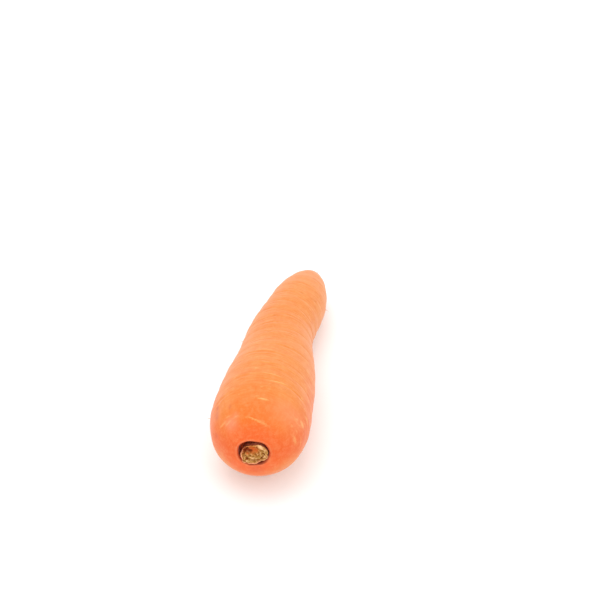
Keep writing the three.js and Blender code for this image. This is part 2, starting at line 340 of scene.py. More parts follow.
class Skin:
    """A grid over the root: where each point is, how far it is raised, and its tints."""

    def __init__(self, outline, columns):
        turns = np.arange(columns) / columns * TURN
        shape = (len(outline), columns)
        self.ring_at = outline[:, 1]
        self.radius = np.broadcast_to(outline[:, :1], shape).copy()
        self.at = np.broadcast_to(outline[:, 1:], shape).copy()
        self.turn = np.broadcast_to(turns, shape).copy()
        across = self.radius * np.sin(self.turn), self.radius * np.cos(self.turn)
        self.grown = np.stack([across[0], self.at, across[1]], axis=-1)
        self.drift = np.zeros(shape)
        self.raised = np.zeros(shape)
        self.tints = {name: np.zeros(shape) for name in MARK_TINTS}
        tangent = unit(np.gradient(outline, axis=0))
        self.outwards = np.stack([tangent[:, 1], -tangent[:, 0]], axis=1)[:, None, :]

        # The rim is the ring nearest to the crown's end.
        rim_ring = int(np.argmin(outline[: len(outline) // 4, 1]))
        along = distances(outline)
        self.past_rim = (along - along[rim_ring])[:, None]
        self.outside = np.arange(len(outline)) >= rim_ring
        from_blend = (BLEND_RADIUS - self.radius) / (BLEND_RADIUS - RIM_RADIUS)
        self.rim_share = np.clip(from_blend, 0, 1) * (self.at < CROWN_ROUNDING)

    def near(self, at, reach):
        """The rings on the root's outside within reach of a distance from the crown."""
        return np.nonzero(self.outside & (np.abs(self.ring_at - at) < reach))[0]

    def mark(self, at, turn, length, width, *, slope=0.0, curl=0.0, raised=0.0, lips=0.0, **tints):
        """A soft mark, length long round the root and width wide along it, in millimetres.

        slope tilts it, curl bends it, and lips raises the skin along both its edges.
        """
        tilted = (abs(slope) + abs(curl) * length) * length
        rows = self.near(at, 2 * width + tilted + MARK_SLACK)
        across = turn_from(self.turn[rows], turn) * self.radius[rows]
        along = self.at[rows] + self.drift[rows] - at - slope * across - curl * across**2
        ends = hump(across, length / 2)
        shape = ends * np.exp(-((along / (width / 2)) ** 2))
        edges = ends * np.exp(-(((np.abs(along) - width) / (width / 2)) ** 2))
        self.raised[rows] += raised * shape + lips * edges
        for name, amount in tints.items():
            layer = self.tints[name]
            layer[rows] = np.maximum(layer[rows], amount * shape)

    def bend(self):
        """The points, raised, bent along the axis and set down on z = 0, and how far that is up."""
        radius = self.radius + self.raised * self.outwards[..., 0]
        at = self.at + self.raised * self.outwards[..., 1]
        level = np.sin(math.pi * np.clip(self.at / LENGTH, 0, 1))
        wander = RING_WANDER * level * np.sin(2 * self.turn + self.at / WANDER_LENGTH)
        centre, _, side, up = axis_frame(at + wander)
        across = radius * np.sin(self.turn) + self.rim_share * RIM_OFFSET[0]
        upwards = radius * np.cos(self.turn) + self.rim_share * RIM_OFFSET[1]
        points = centre + side * across[..., None] + up * upwards[..., None]
        raise_by = -points[..., 2].min() - FLAT_DEPTH
        points[..., 2] = np.maximum(points[..., 2] + raise_by, 0)
        return points, raise_by


# ---- The root's form: section, swellings and furrows ----

# The body's own relief begins and is whole at these radii.
BODY_RELIEF_FADE = (BLEND_RADIUS * 0.4, BLEND_RADIUS * 0.7)
# The rim's finer waves, as shares of its radius.
RIM_FOUR_CORNERS = 0.02
RIM_THREE_WAVES = 0.015
RIM_SEVEN_WAVES = 0.012
RIM_WAVE_TURN = 0.6
# Shares of the solid's furrow: the depth in the skin, the lips and the crease.
FURROW_SHARE = 0.5
FURROW_LIP_AT = 1.25
FURROW_LIP_HEIGHT = 0.2
FURROW_CREASE = 0.35
CREASE_REACH = 0.5


def add_form(skin):
    """The oval section, the slow swellings and the furrows that the solid also has."""
    at, turn = skin.at, skin.turn
    body = ease(*BODY_RELIEF_FADE, skin.radius) * skin.outside[:, None]
    oval = OVALITY * np.cos(2 * turn - OVAL_TURN)
    corners = THREE_CORNERS * np.cos(3 * turn + at / TWIST_LENGTH)
    uneven = RIM_OVALITY * np.cos(2 * turn) + RIM_FOUR_CORNERS * np.cos(4 * turn)
    waves = RIM_THREE_WAVES * np.sin(3 * turn + RIM_WAVE_TURN) + RIM_SEVEN_WAVES * np.sin(7 * turn)
    drift = SWELLING_DRIFT * np.sin(at / DRIFT_LENGTH)
    skin.raised += SWELLING_HEIGHT * body * np.sin(TURN * at / SWELLING_LENGTH + drift)
    skin.radius *= (1 + body * (oval + corners)) * (1 - skin.rim_share * (uneven + waves))
    for i in range(FURROW_COUNT):
        add_furrow(skin, i)


def furrow_depth(turns, i):
    """How deep furrow i is at turns round the root."""
    depth = np.zeros_like(turns)
    for n in range(i * FURROW_ARCS + 1, (i + 1) * FURROW_ARCS + 1):
        middle = TURN * scatter(n, FIRST_STRIDE)
        half_span = scatter(n, SECOND_STRIDE, ARC_SPAN)
        share = scatter(n, THIRD_STRIDE, ARC_DEPTH)
        away = np.clip(np.abs(turn_from(turns, middle)) / half_span, 0, 1)
        depth = np.maximum(depth, FURROW_DEPTH * share * np.cos(away * math.pi / 2))
    return depth


def add_furrow(skin, i):
    """One furrow, with low lips beside it and a darker crease in its bottom."""
    share = (i + FURROW_SCATTER * math.sin(SCATTER_STEP * i)) / (FURROW_COUNT - 1)
    furrow_at = part_way(FURROW_ZONE, share)
    rows = skin.near(furrow_at, 3 * FURROW_REACH)
    depth = furrow_depth(skin.turn[rows], i)
    offset = skin.at[rows] - furrow_at
    lips = hump(np.abs(offset) - FURROW_LIP_AT * FURROW_REACH, FURROW_REACH)
    profile = FURROW_LIP_HEIGHT * lips - hump(offset, FURROW_REACH)
    skin.raised[rows] += FURROW_SHARE * depth * profile
    bottom = hump(offset, CREASE_REACH * FURROW_REACH)
    crease = skin.tints["crease"]
    crease[rows] = np.maximum(crease[rows], FURROW_CREASE * depth * bottom)


# ---- The root's growth: rings of wrinkles, scars and pits ----

RING_ZONE = (22.0, 149.0)
WRINKLE_ZONE = (9.0, 149.0)
SCAR_ZONE = (12.0, 145.0)
PIT_ZONE = (13.0, 145.0)
MARK_DRIFT = 0.45
# A pair is a draw's least and most. Lips and creases are for a depth of 1 mm.
FINE_RINGS = 48
FINE_ARCS = 15
RING_SCATTER = 0.3
RING_STEP = 2.9
RING_STRAY = 0.35
FINE_ARC = dict(depth=(0.02, 0.09), length=(3, 13), width=(0.35, 0.7), slope=0.02, lips=0.5, crease=1.8)
WRINKLES = 420
WRINKLE = dict(depth=(0.02, 0.08), length=(2, 10), width=(0.35, 0.65), slope=0.03, lips=0.35, crease=1.6)
WRINKLE_CURL = 0.002
SCARS = 260
SCAR = dict(length=(2, 10), width=(0.35, 0.55), slope=0.04, height=(0.03, 0.08), strength=(0.2, 0.6))
# A pit and the longer dent that it lies in, for a width of 1.
PITS = 24
PIT_SIZE = (0.7, 1.3)
PIT_LENGTH = 2.2
PIT_DEPTH = 0.2
PIT_EDGE = dict(lips=0.05, crease=0.5)
DENT_LENGTH = 5.0
DENT_WIDTH = 0.6
DENT = dict(raised=-0.05, crease=0.2)


def add_growth(skin, rng):
    """Fine rings of wrinkles, loose wrinkles, pale scars and pits, all over the root."""
    skin.drift = MARK_DRIFT * layered_noise(rng, skin.grown, (11, 40, 11), layers=2)
    for ring in range(FINE_RINGS):
        share = (ring + RING_SCATTER * math.sin(RING_STEP * ring)) / FINE_RINGS
        ring_at = part_way(RING_ZONE, share)
        for _ in range(FINE_ARCS):
            add_wrinkle(skin, rng, FINE_ARC, partial(rng.normal, ring_at, RING_STRAY))
    for _ in range(WRINKLES):
        add_wrinkle(skin, rng, WRINKLE, partial(rng.uniform, *WRINKLE_ZONE), WRINKLE_CURL)
    for _ in range(SCARS):
        add_scar(skin, rng)
    for _ in range(PITS):
        add_pit(skin, rng)


def draw_place(rng, draw_at, kind):
    """Where a mark of a kind is, and its length and width."""
    at, turn = draw_at(), rng.uniform(0, TURN)
    return at, turn, rng.uniform(*kind["length"]), rng.uniform(*kind["width"])


def add_wrinkle(skin, rng, kind, draw_at, curl=None):
    """One wrinkle of a kind, at the place that draw_at draws, curled only where curl is given."""
    depth = rng.uniform(*kind["depth"])
    place = draw_place(rng, draw_at, kind)
    slope = rng.normal(0, kind["slope"])
    curl = rng.normal(0, curl) if curl else 0.0
    relief = dict(raised=-depth, lips=kind["lips"] * depth, crease=kind["crease"] * depth)
    skin.mark(*place, slope=slope, curl=curl, **relief)


def add_scar(skin, rng):
    place = draw_place(rng, partial(rng.uniform, *SCAR_ZONE), SCAR)
    slope = rng.normal(0, SCAR["slope"])
    raised, scar = (rng.uniform(*SCAR[name]) for name in ("height", "strength"))
    skin.mark(*place, slope=slope, raised=raised, scar=scar)


def add_pit(skin, rng):
    """One pit, in a longer and shallower dent."""
    at, turn = rng.uniform(*PIT_ZONE), rng.uniform(0, TURN)
    size = rng.uniform(*PIT_SIZE)
    skin.mark(at, turn, PIT_LENGTH * size, size, raised=-PIT_DEPTH * size, **PIT_EDGE)
    skin.mark(at, turn, DENT_LENGTH * size, DENT_WIDTH * size, **DENT)


# ---- The root's own marks ----

# The marks that stand out: distance from the crown, turn in degrees, length round the root, width
# along it, how far raised, slope, tint and its strength.
KNOWN_MARKS = [
    # Along the top, up to the rim.
    (50.6, -6, 12, 0.6, 0.08, 0.05, "scar", 0.75),
    (48.8, -5, 9, 0.5, -0.06, 0, "crease", 0.3),
    (46, -4, 8, 0.5, -0.08, 0, "crease", 0.3),
    (43.5, -10, 7, 0.5, 0.04, 0, "scar", 0.5),
    (39, 4, 9, 0.5, 0.04, 0.04, "scar", 0.5),
    (36.4, 6, 9, 0.5, -0.06, 0.04, "crease", 0.3),
    (33.3, -8, 2.6, 1.1, 0.08, 0, "scar", 0.7),
    (29.1, 10, 15, 0.6, 0.1, 0, "scar", 0.75),
    (27.3, 14, 11, 0.5, -0.08, 0.12, "crease", 0.35),
    (24.8, 20, 15, 0.65, 0.1, 0.17, "scar", 0.85),
    (23.2, 22, 11, 0.5, -0.08, 0.15, "crease", 0.35),
    (18.7, 3, 2.4, 0.8, 0.06, 0, "scar", 0.6),
    (12.4, 7, 8, 0.7, 0.1, -0.05, "scar", 1),
    (13.6, 0, 4, 0.5, 0.03, -0.05, "scar", 0.5),
    (14.2, 0, 5, 0.5, -0.05, 0, "crease", 0.2),
    (4.6, 0, 14, 0.5, 0.05, -0.24, "scar", 0.6),
    (4, 15, 7, 0.45, 0.04, -0.2, "scar", 0.5),
    (5.5, -2, 9, 0.5, -0.03, -0.2, "crease", 0.2),
    # Pale bars on the crown's right.
    (6.9, 78, 8.5, 1.5, 0.04, 0, "scar", 0.55),
    (13.8, 70, 7.5, 1.5, 0.04, -0.08, "scar", 0.75),
    (19, 74, 8, 1.2, 0.04, 0, "scar", 0.6),
    # Pale lines on the crown's left.
    (7.4, -56, 8, 0.8, 0.04, -0.04, "scar", 0.55),
    (6.5, -46, 7, 0.7, 0.04, 0.12, "scar", 0.6),
    (8.4, -42, 6, 0.6, 0.04, -0.1, "scar", 0.5),
    (6.8, -31, 7, 0.6, 0.04, -0.05, "scar", 0.5),
    (5.2, -37, 6, 0.5, 0.03, 0.1, "scar", 0.35),
    # Pinker skin, and a broad painted sheen on the crown's right.
    (5.8, -42, 12, 4.6, 0, 0, "pink_and_painted_sheen", 0.5),
    (7, -32, 7, 3, 0, 0, "pink_and_painted_sheen", 0.35),
    # A painted sheen: a broad pale pink patch on the crown's right.
    (11.5, 45, 30, 11, 0, 0, "pink_and_painted_sheen", 0.3),
    # Bruises, the broad one on the crown's left partly painted shade, and painted shade below the stub.
    (13.7, -61, 5.5, 5, -0.1, 0, "bruise_and_shade", 0.6),
    (16.4, -58, 3.4, 3, 0, 0, "bruise_and_shade", 0.75),
    (12.4, -62, 4, 2.6, 0, 0, "bruise_and_shade", 0.8),
    (11.6, -36, 3, 2.2, 0, 0, "bruise_and_shade", 0.55),
    # Painted shade below the stub, under the recess.
    (1.2, 174, 10, 2.6, 0, 0, "bruise_and_shade", 0.4),
    (21, -50, 4.4, 2.4, 0, 0, "bruise_and_shade", 0.25),
    (7.8, -80, 3.6, 2.2, -0.1, 0, "bruise_and_shade", 0.55),
    # A deep crease with its fold on the left, and a dent on the right.
    (26, -82, 16, 1.3, -0.5, -0.03, "crease", 0.4),
    (23.9, -82, 15, 1.6, 0.22, 0, "scar", 0),
    (40.5, 82, 7, 1.1, -0.25, 0, "bruise_and_shade", 0.3),
    (40.5, 82, 7, 1.1, 0, 0, "crease", 0.4),
]
# Pale marks on the right side: how many, and each draw's least and most: distance from the crown,
# turn in degrees, length, width and strength.
SIDE_SCARS = 46
SIDE_SCAR_LEAST = (8, 52, 2.0, 0.5, 0.2)
SIDE_SCAR_MOST = (56, 98, 7.0, 1.2, 0.6)
SIDE_SCAR_HEIGHT = 0.03
# A pitted patch: distance from the crown, turn in degrees, reach along, reach round, and its pits.
PITTED_PATCH = (21.3, 24, 2.4, 5.0, 22)
PATCH_PIT_LENGTH = (0.9, 1.8)
PATCH_PIT_WIDTH = (0.5, 0.8)
PATCH_PIT = dict(raised=-0.1, crease=0.4)


def add_known_marks(skin, rng):
    """The marks that stand out, the right side's and the pitted patch."""
    for at, degrees, length, width, raised, slope, tint, strength in KNOWN_MARKS:
        mark = {"raised": raised, "slope": slope, tint: strength}
        skin.mark(at, math.radians(degrees), length, width, **mark)
    for _ in range(SIDE_SCARS):
        at, degrees, length, width, scar = rng.uniform(SIDE_SCAR_LEAST, SIDE_SCAR_MOST)
        skin.mark(at, math.radians(degrees), length, width, raised=SIDE_SCAR_HEIGHT, scar=scar)
    patch_at, patch_degrees, reach_along, reach_round, pits = PITTED_PATCH
    for _ in range(pits):
        at = patch_at + rng.uniform(-1, 1) * reach_along
        away = rng.uniform(-1, 1) * reach_round / skin.radius.max()
        length, width = rng.uniform(*PATCH_PIT_LENGTH), rng.uniform(*PATCH_PIT_WIDTH)
        skin.mark(at, math.radians(patch_degrees) + away, length, width, **PATCH_PIT)


# ---- The root's crown ----

# Millimetres outwards from the rim. A place is its middle and its reach, and a fade is where a tint
# begins and ends.
RECESS_FADE = (-0.3, 0.12)
RECESS_RAGGED = 0.3
RIBS_PLACE = (-3.4, 3)
FINE_RIBS, FINE_RIB_HEIGHT = 46, 0.1
COARSE_RIBS, COARSE_RIB_HEIGHT, COARSE_RIB_TURN = 19, 0.12, 1.3
LIP_PLACE = (0.35, 0.9)
LIP_HEIGHT = 0.12
# The lip is highest at a turn, by this much above and below its middling height.
LIP_MIDDLING, LIP_SWING, LIP_TURN = 0.6, 0.4, 0.5
LIP_PALE_AND_HIGHLIGHT_PLACE = (0.3, 0.5)
FOLDS_PLACE = (3.2, 4.2)
FOLD_HEIGHT = 0.12
# Painted shade: a dark brown band along the rim's lower edge, under the stub.
SHADE_UNDER_STUB_TURNS = (2.95, 1.7)
SHADE_UNDER_STUB_FADE = (-0.2, 0.7)
SHADE_UNDER_STUB_RAGGED = 0.2
# The broad tints, by distance from the crown and by turn.
CROWN_FROM, CROWN_REACH, CROWN_RAGGED = -2, 13, 5
TONGUE_TURNS = (-0.05, 0.9)
TONGUE_REACH = 24
CAP_FROM, CAP_REACH, CAP_RAGGED = 0.5, 5, 2
# Painted shade: both flanks of the crown half a deeper orange.
SHADED_FLANK_TURNS = (1.5, 0.75)
SHADED_FLANK_FADE = (25, 75)
TAIL_FADE = (70, 150)
BANDED_FADE = (3, 22)


def add_crown(skin, rng):
    """The recess and its lip, the soft folds round them, and the broad tints."""
    ragged = layered_noise(rng, skin.grown, (1.6, 1.6, 1.6))
    add_recess(skin, ragged)
    add_lip(skin, ragged)
    folds = band(skin.past_rim, FOLDS_PLACE) * skin.outside[:, None]
    skin.raised += FOLD_HEIGHT * folds * lattice_noise(rng, skin.grown, (2.6, 30, 2.6))
    add_broad_tints(skin, lattice_noise(rng, skin.grown, (9, 60, 9)))


def add_recess(skin, ragged):
    """The recess's tint, and the ribs up its wall."""
    edge = skin.past_rim + RECESS_RAGGED * ragged
    skin.tints["recess"] = 1 - ease(*RECESS_FADE, edge)
    ribs = FINE_RIB_HEIGHT * np.sin(FINE_RIBS * skin.turn + 2 * ragged)
    ribs = ribs + COARSE_RIB_HEIGHT * np.sin(COARSE_RIBS * skin.turn + COARSE_RIB_TURN)
    skin.raised += ribs * band(skin.past_rim, RIBS_PLACE)


def add_lip(skin, ragged):
    """The rim's rolled and paler lip, with a painted highlight on its upper side, and painted shade
    under the stub along its lower edge.
    """
    upper = LIP_MIDDLING + LIP_SWING * np.cos(skin.turn + LIP_TURN)
    lip = band(skin.past_rim, LIP_PLACE) * (0.75 + 0.35 * ragged)
    skin.raised += LIP_HEIGHT * lip * upper
    # The lip is paler, and a painted highlight makes it palest on its upper side.
    pale = band(skin.past_rim, LIP_PALE_AND_HIGHLIGHT_PLACE) * (upper + 0.4 * ragged)
    skin.tints["lip"] = np.clip(pale, 0, 1)
    # Painted shade under the stub: a dark brown band on the rim's lower side.
    edge = skin.past_rim + SHADE_UNDER_STUB_RAGGED * ragged
    below = turn_band(skin.turn, SHADE_UNDER_STUB_TURNS)
    skin.tints["shade_under_stub"] = below * (1 - ease(*SHADE_UNDER_STUB_FADE, edge))


def add_broad_tints(skin, drift):
    """The redder crown, with a tongue along the top, its cap, painted shade on the flanks, and the tail.
    """
    tongue = TONGUE_REACH * turn_band(skin.turn, TONGUE_TURNS)
    reach = CROWN_REACH + CROWN_RAGGED * drift + tongue
    skin.tints["crown"] = 1 - ease(CROWN_FROM, reach, skin.at)
    skin.tints["cap"] = 1 - ease(CAP_FROM, CAP_REACH + CAP_RAGGED * drift, skin.at)
    # Painted shade: both flanks deeper orange, fading out towards the tail.
    shaded_flanks = band(np.abs(turn_from(skin.turn, 0)), SHADED_FLANK_TURNS)
    skin.tints["painted_flank_shade"] = shaded_flanks * (1 - ease(*SHADED_FLANK_FADE, skin.at))
    skin.tints["tail"] = ease(*TAIL_FADE, skin.at)
    skin.tints["banded"] = ease(*BANDED_FADE, skin.at)


# ---- The leaf stub ----

# The cut face's outline: degrees from the right, anticlockwise as seen from outside, and radius.
STUB_OUTLINE = [
    (0, 5.5), (13, 5.95), (28, 5.85), (48, 5.6), (72, 5.4), (97, 4.75), (118, 4.7),
    (137, 5), (154, 5.35), (174, 5.8), (191, 5.8), (209, 6.1), (222, 6.95), (231, 6.3),
    (243, 5.5), (274, 4.9), (296, 4.5), (317, 4.7), (331, 5.3), (345, 6.1), (360, 5.5),
]
OUTLINE_RAGGED = 0.2
# What the cut face shows, each place given by its middle, reach along and across, and tilt.
HOLLOW = (-3.4, 2, 1.9, 1.4, 0.2)
HEART = (-0.5, 2.5, 2.5, 2.3, 0)
HEART_STREAK = (0.2, 2.2, 0.55, 1.5, 0.25)
SMOOTH_PATCH = (2.75, 4.2, 1.7, 0.9, -0.95)
RED_PATCH = (-2.9, 0.2, 0.7, 0.6, 0)
PALE_PLACES = [
    (-1.8, -2, 0.9, 0.3, 0.1), (-0.6, -1.9, 0.5, 0.4, 0), (-2.5, 0.7, 0.35, 0.35, 0),
    (4.4, -1, 0.9, 0.5, 0.5), (5.4, -1.6, 0.5, 0.6, 0), (5.1, 2.5, 0.5, 0.5, 0),
    (1.4, -0.4, 0.5, 0.25, 0.8), (2.4, 0.7, 0.3, 0.5, 0), (-2.9, -3.5, 0.9, 0.25, 0),
    (-4.3, -1.9, 0.25, 0.6, 0.3),
]
DARK_PITS = [
    (-4.8, 0.3, 0.45, 0.35, 0), (-4.6, -1, 0.4, 0.35, 0), (-3.2, -2.8, 0.55, 0.4, 0),
    (-0.4, -3.2, 0.8, 0.4, 0), (1, -3, 0.35, 0.35, 0), (3, -1.9, 0.6, 0.3, 0.6),
    (2.6, -0.4, 0.4, 0.3, 0), (4.3, 0.4, 0.35, 0.5, 0), (-1.6, 1.4, 0.8, 0.4, 0.3),
    (1.3, 3.7, 0.2, 1, 0.3),
]
# How sharply the hollow, the heart and the smooth patch end.
SHARP = 3
GAP_DEPTH = 0.6
TOP_SCATTER = 0.3
BUNDLES_AT = (-0.66, -0.33, 0, 0.33, 0.66)
BUNDLE_RADIUS = 0.16
# Heights and depths on the cut face.
GRAIN_HEIGHT = 0.30
COARSE_HEIGHT = 0.15
PATCH_PROUD = 0.05
BUNDLE_HEIGHT = 0.16
PALE_HEIGHT = 0.12
PIT_SINK = 0.55
STRAND_HEIGHT = 0.14
HEART_SINK = 0.35
HOLLOW_SINK = 1.2
RIM_CURL = 0.22
EDGE_SINK = 0.35
# How much the sides are tucked in, as shares of their radius, and where on the way down.
FOOT_TUCK, FOOT_FADE = 0.05, (0.85, 1)
NECK_TUCK, NECK_PLACE = 0.035, (0.12, 0.12)
UPPER_TUCK, UPPER_PLACE = 0.1, (0.2, 0.19)
FINE_FIBRES, FINE_FIBRE_HEIGHT = 64, 0.1
COARSE_FIBRES, COARSE_FIBRE_HEIGHT = 23, 0.12
FIBRES_PLACE = (0.5, 0.5)
# How the cut face's tints fade on the sides, and where the wall's begins and is whole.
FADE_POWER = 9
WALL_FADE = (0.01, 0.1)


def spot(u, v, place, sharpness=2.0):
    """How deep inside an oval spot each point is: 1 in its middle, 0 well outside."""
    cu, cv, reach_u, reach_v, tilt = place
    du, dv = u - cu, v - cv
    along = (du * math.cos(tilt) + dv * math.sin(tilt)) / reach_u
    across = (dv * math.cos(tilt) - du * math.sin(tilt)) / reach_v
    return np.exp(-((along**2 + across**2) ** (sharpness / 2)))


def crescents(u, v):
    """The stalk bases' tops: how surely each point is on one, its height, and its bundles."""
    on_base = np.zeros_like(u)
    height = np.full_like(u, STUB_HEIGHT - GAP_DEPTH)
    bundles = np.zeros_like(u)
    for count, radius, thickness, half_span, sunk, first_turn, off_centre in WHORLS:
        bud_u, bud_v = (offset * off_centre for offset in BUD_OFFSET)
        du, dv = u - bud_u, v - bud_v
        middle = radius - thickness * 0.5
        for i in range(count):
            turn = first_turn + TURN * i / count
            away = turn_from(np.arctan2(dv, du), turn) / half_span
            width = thickness * (1 - 0.6 * np.clip(away, -1, 1) ** 2)
            across = np.abs(np.hypot(du, dv) - middle) / (width * 0.55)
            inside = ease(1.25, 0.75, across) * ease(1.1, 0.9, np.abs(away))
            top = STUB_HEIGHT - sunk * 0.4 + TOP_SCATTER * math.sin(2.4 * i + count)
            height = np.maximum(height, inside * top + (1 - inside) * height)
            on_base = np.maximum(on_base, inside)
            for share in BUNDLES_AT:
                angle = turn + share * half_span
                bundle_u = bud_u + middle * math.cos(angle)
                bundle_v = bud_v + middle * math.sin(angle)
                off = (u - bundle_u) ** 2 + (v - bundle_v) ** 2
                bundles = np.maximum(bundles, np.exp(-off / BUNDLE_RADIUS**2))
    return on_base, height, bundles


def around(radius, directions, z):
    """Points at a radius and a height in each direction."""
    u, v = (radius * directions[:, k] for k in range(2))
    return np.stack([u, v, z + 0 * u], axis=-1)


def cut_face(rng, outline, directions):
    """The cut face's points, from its middle to its edge, and its tints."""
    share = np.linspace(0, 1, STUB_FACE_RINGS)[:, None]
    flat = around(share * outline, directions, 0)
    u, v = flat[..., 0], flat[..., 1]
    from_edge = (1 - share) * outline
    on_base, height, bundles = crescents(u / STUB_STRETCH[0], v / STUB_STRETCH[1])
    grain = layered_noise(rng, flat, (0.55, 0.55, 0.55))
    coarse = layered_noise(rng, flat + 40, (1.6, 1.6, 1.6))
    strands = lattice_noise(rng, flat + 80, (0.22, 1.6, 1.0))
    hollow, heart, patch = (spot(u, v, place, SHARP) for place in (HOLLOW, HEART, SMOOTH_PATCH))
    pale, pits = (
        np.max([spot(u, v, place) for place in places], axis=0)
        for places in (PALE_PLACES, DARK_PITS)
    )
    rough = (1 - patch) * (1 - 0.6 * heart)
    rim = ease(0.75, 0.3, from_edge + 0.25 * coarse)

    z = height + rough * (GRAIN_HEIGHT * grain + COARSE_HEIGHT * coarse)
    z += (STUB_HEIGHT + PATCH_PROUD - z) * 0.9 * patch
    z += BUNDLE_HEIGHT * bundles * (1 - patch) + PALE_HEIGHT * pale - PIT_SINK * pits * (1 - patch)
    z += heart * (STRAND_HEIGHT * strands - HEART_SINK)
    z -= HOLLOW_SINK * hollow
    z += RIM_CURL * rim - EDGE_SINK * ease(0.12, 0, from_edge)

    gaps = 1 - on_base
    dark = hollow * 1.1 + 0.8 * pits + 0.2 * gaps * rough - 0.6 * grain * rough
    lower_left = 0.6 * coarse - directions[:, 0] * 0.6 - directions[:, 1]
    tints = {
        "pale": np.clip(0.9 * patch + 0.7 * pale + 0.3 * bundles + 0.55 * grain * rough, 0, 1),
        "rust": np.maximum(heart * (0.9 + 0.3 * strands), 0.8 * spot(u, v, RED_PATCH)),
        "flame": spot(u, v, HEART_STREAK) * (0.8 + 0.4 * strands),
        "dark": np.clip(dark, 0, 1),
        "rim": rim * ease(-0.9, 0.5, lower_left),
        "wall": np.zeros_like(z),
    }
    return np.stack([u, v, z], axis=-1), tints


def side_radius(outline, angle, directions, down):
    """The fibrous sides' radius, down being the share of the way from the cut face to the foot."""
    share = part_way((STUB_FOOT_SHARE, 1), 1 - down)
    share = share - FOOT_TUCK * ease(*FOOT_FADE, down) - NECK_TUCK * band(down, NECK_PLACE)
    upper = ease(0.1, 0.8, directions[:, 1] - 0.3 * directions[:, 0])
    share = share - UPPER_TUCK * band(down, UPPER_PLACE) * upper
    fine = FINE_FIBRE_HEIGHT * np.sin(FINE_FIBRES * angle + 3 * down)
    coarse = COARSE_FIBRE_HEIGHT * np.sin(COARSE_FIBRES * angle - 2 * down)
    return share * outline + (fine + coarse) * band(down, FIBRES_PLACE)


def stub_rings(rng):
    """The stub's points in its own frame (u right, v up, z out of the recess) and their tints."""
    angle = np.arange(STUB_COLUMNS) / STUB_COLUMNS * TURN
    directions = np.stack([np.cos(angle), np.sin(angle)], axis=-1)
    degrees, radii = zip(*STUB_OUTLINE)
    ragged = OUTLINE_RAGGED * layered_noise(rng, around(5, directions, 0), (0.9, 0.9, 0.9))
    outline = smooth_curve(degrees, radii)(np.degrees(angle)) + ragged

    face, tints = cut_face(rng, outline, directions)
    down = np.linspace(0, 1, STUB_SIDE_RINGS + 1)[1:, None]
    radius = side_radius(outline, angle, directions, down)
    sides = around(radius, directions, face[-1, :, 2] * (1 - down))
    shrink = np.linspace(1, 0, STUB_FOOT_RINGS + 1)[1:, None]
    foot = around(shrink * radius[-1], directions, 0)

    whole = np.ones((STUB_FOOT_RINGS, 1))
    wall = np.concatenate([ease(*WALL_FADE, down), whole])
    fade = (1 - np.concatenate([down, whole])) ** FADE_POWER
    for name, layer in tints.items():
        below = wall + 0 * angle if name == "wall" else layer[-1] * fade
        tints[name] = np.clip(np.concatenate([layer, below]), 0, 1)
    return np.concatenate([face, sides, foot]), tints


# ---- Meshes ----


def add_object(name, data):
    item = bpy.data.objects.new(name, data)
    bpy.context.scene.collection.objects.link(item)
    return item


def add_smooth_mesh(name, points, faces):
    mesh = bpy.data.meshes.new(name)
    mesh.from_pydata((points * MM).tolist(), [], faces)
    mesh.shade_smooth()
    return add_object(name, mesh)


def ring_shares(points):
    """How far along the surface each ring lies, as a share of the whole way."""
    gaps = np.linalg.norm(np.diff(points.mean(axis=1), axis=0), axis=-1)
    gaps = np.maximum(gaps, np.linalg.norm(np.diff(points, axis=0), axis=-1).mean(axis=1))
    return np.concatenate([[0], np.cumsum(gaps)]) / gaps.sum()


def grid_faces(inner, columns, shares):
    """The faces between two poles and the rings between them, and their places in the map."""
    last = inner * columns + 1
    start = 1 + (inner - 1) * columns
    faces, uvs = [], []
    for j in range(columns):
        following = (j + 1) % columns
        left, right, middle = j / columns, (j + 1) / columns, (j + 0.5) / columns
        faces.append((0, 1 + j, 1 + following))
        uvs += [(middle, 0), (left, shares[1]), (right, shares[1])]
        for i in range(inner - 1):
            a, b = 1 + i * columns + j, 1 + i * columns + following
            faces.append((a, a + columns, b + columns, b))
            low, high = shares[i + 1], shares[i + 2]
            uvs += [(left, low), (left, high), (right, high), (right, low)]
        faces.append((last, start + following, start + j))
        uvs += [(middle, 1), (right, shares[-2]), (left, shares[-2])]
    return faces, uvs


def closed_grid(name, points, tints, grown):
    """An object from rings of points, the first and last each at one place, mapped for the bake."""

    def by_vertex(layer):
        """A layer in the vertices' order: the first pole, the rings, the last pole."""
        body = layer[1:-1].reshape((-1,) + layer.shape[2:])
        return np.concatenate([layer[:1, 0], body, layer[-1:, 0]])

    rings, columns = points.shape[:2]
    faces, uvs = grid_faces(rings - 2, columns, ring_shares(points))
    piece = add_smooth_mesh(name, by_vertex(points), faces)
    mesh = piece.data
    mesh.uv_layers.new(name="OFBake").data.foreach_set("uv", np.array(uvs, np.float32).ravel())
    for label, layer in tints.items():
        attribute = mesh.attributes.new(label, "FLOAT", "POINT")
        attribute.data.foreach_set("value", by_vertex(layer).astype(np.float32))
    attribute = mesh.attributes.new("grown", "FLOAT_VECTOR", "POINT")
    attribute.data.foreach_set("vector", by_vertex(grown).astype(np.float32).ravel())
    return piece


# A hair narrows by this share. No hair runs along the reference direction.
HAIR_TAPER = 0.85
HAIR_REFERENCE = (0.3, 0.2, 0.93)


